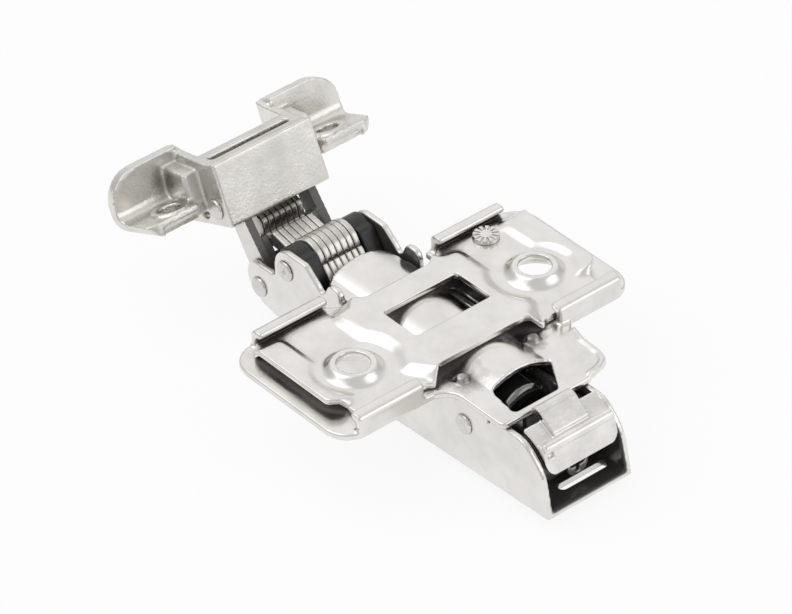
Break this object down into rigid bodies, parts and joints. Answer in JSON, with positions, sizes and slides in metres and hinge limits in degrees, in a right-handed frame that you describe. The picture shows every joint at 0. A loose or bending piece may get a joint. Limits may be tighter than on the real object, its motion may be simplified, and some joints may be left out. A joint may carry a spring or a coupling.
{
  "type": "concealed cabinet hinge",
  "caption": "Concealed cabinet hinge: a die-cast door housing on a laminated linkage, a channel arm and an adjustable slide-on wall plate with two screw holes.",
  "frame": {"origin": "midway between the two wall screw holes, on the plane of the face that touches the cabinet wall", "axes": "+X back along the arm towards the release lever, +Y along the pivots, +Z towards the cabinet wall"},
  "size_m": [0.0791, 0.0516, 0.0237],
  "materials": {
    "plated_steel": "bright nickel plate over pressed sheet",
    "plated_casting": "nickel plate over a slightly grainy zinc casting",
    "link_steel": "nickel plated stampings with darker sheared edges",
    "bright_steel": "bright turned steel",
    "screw_steel": "plated steel",
    "spring_steel": "oiled spring steel",
    "black_plastic": "black moulded plastic, half matt"
  },
  "bodies": {
    "wall_plate": {"wall_plate": "plated_steel"},
    "base": {"base_plate": "plated_steel", "screw_block": "screw_steel"},
    "height_cam": {"height_cam": "plated_steel"},
    "arm": {"arm": "plated_steel", "ear_pin": "bright_steel", "nose_rivets": "bright_steel", "lever_rivets": "bright_steel", "near_bushing": "black_plastic", "far_bushing": "black_plastic", "damper_body": "black_plastic", "screw_bracket": "screw_steel", "closing_spring": "spring_steel"},
    "depth_screw": {"depth_screw": "screw_steel"},
    "release_lever": {"release_lever": "plated_steel"},
    "outer_link": {"outer_link": "plated_steel"},
    "inner_link": {"inner_link_1": "link_steel", "inner_link_2": "link_steel", "inner_link_3": "link_steel", "inner_link_4": "link_steel", "inner_link_5": "link_steel", "inner_link_6": "link_steel", "inner_link_7": "link_steel"},
    "housing": {"housing": "plated_casting", "housing_rivets": "bright_steel", "rear_pin": "bright_steel"},
    "follower": {"follower_plate_1": "link_steel", "follower_plate_2": "link_steel", "follower_plate_3": "link_steel", "follower_plate_4": "link_steel", "follower_plate_5": "link_steel", "follower_plate_6": "link_steel", "follower_plate_7": "link_steel", "follower_carrier": "black_plastic", "damper_rod": "bright_steel"}
  },
  "joints": [
    {"name": "height_slide", "type": "slide", "parent": "wall_plate", "child": "base", "axis": [0, 1, 0], "range_m": [-0.0015, 0.0015]},
    {"name": "height_cam_turn", "type": "hinge", "parent": "wall_plate", "child": "height_cam", "pos_m": [-0.0107, 0.0164, 0], "axis": [0, 0, 1], "range_deg": [-54.1, 54.1]},
    {"name": "depth_slide", "type": "slide", "parent": "base", "child": "arm", "axis": [1, 0, 0], "range_m": [-0.001, 0.0005]},
    {"name": "depth_screw_turn", "type": "hinge", "parent": "arm", "child": "depth_screw", "pos_m": [0.02, 0.0006, -0.0106], "axis": [1, 0, 0], "range_deg": [-451, 226]},
    {"name": "lever_release", "type": "hinge", "parent": "arm", "child": "release_lever", "pos_m": [0.0124, 0, -0.00775], "axis": [0, -1, 0], "range_deg": [0, 6], "stiffness_Nm_per_rad": 0.02, "springref_deg": -5.73},
    {"name": "outer_link_swing", "type": "hinge", "parent": "arm", "child": "outer_link", "pos_m": [-0.0313, 0, -0.0094], "axis": [0, -1, 0], "range_deg": [0, 37.6]},
    {"name": "inner_link_swing", "type": "hinge", "parent": "arm", "child": "inner_link", "pos_m": [-0.0252, 0, -0.0033], "axis": [0, -1, 0], "range_deg": [0, 26.1]},
    {"name": "housing_swing", "type": "hinge", "parent": "outer_link", "child": "housing", "pos_m": [-0.03851, 0, 0.00054], "axis": [0, -1, 0], "range_deg": [0, 68.5]},
    {"name": "follower_slide", "type": "slide", "parent": "arm", "child": "follower", "axis": [1, 0, 0], "range_m": [0, 0.00061], "deforming": ["closing_spring"]}
  ],
  "couplings": [
    {"joint": "height_cam_turn", "follows": "height_slide", "rad_per_m": 628.6},
    {"joint": "depth_screw_turn", "follows": "depth_slide", "rad_per_m": 7854},
    {"joint": "inner_link_swing", "follows": "outer_link_swing", "ratio": 0.691},
    {"joint": "housing_swing", "follows": "outer_link_swing", "ratio": 1.819},
    {"joint": "follower_slide", "follows": "outer_link_swing", "m_per_rad": 0.000914}
  ]
}
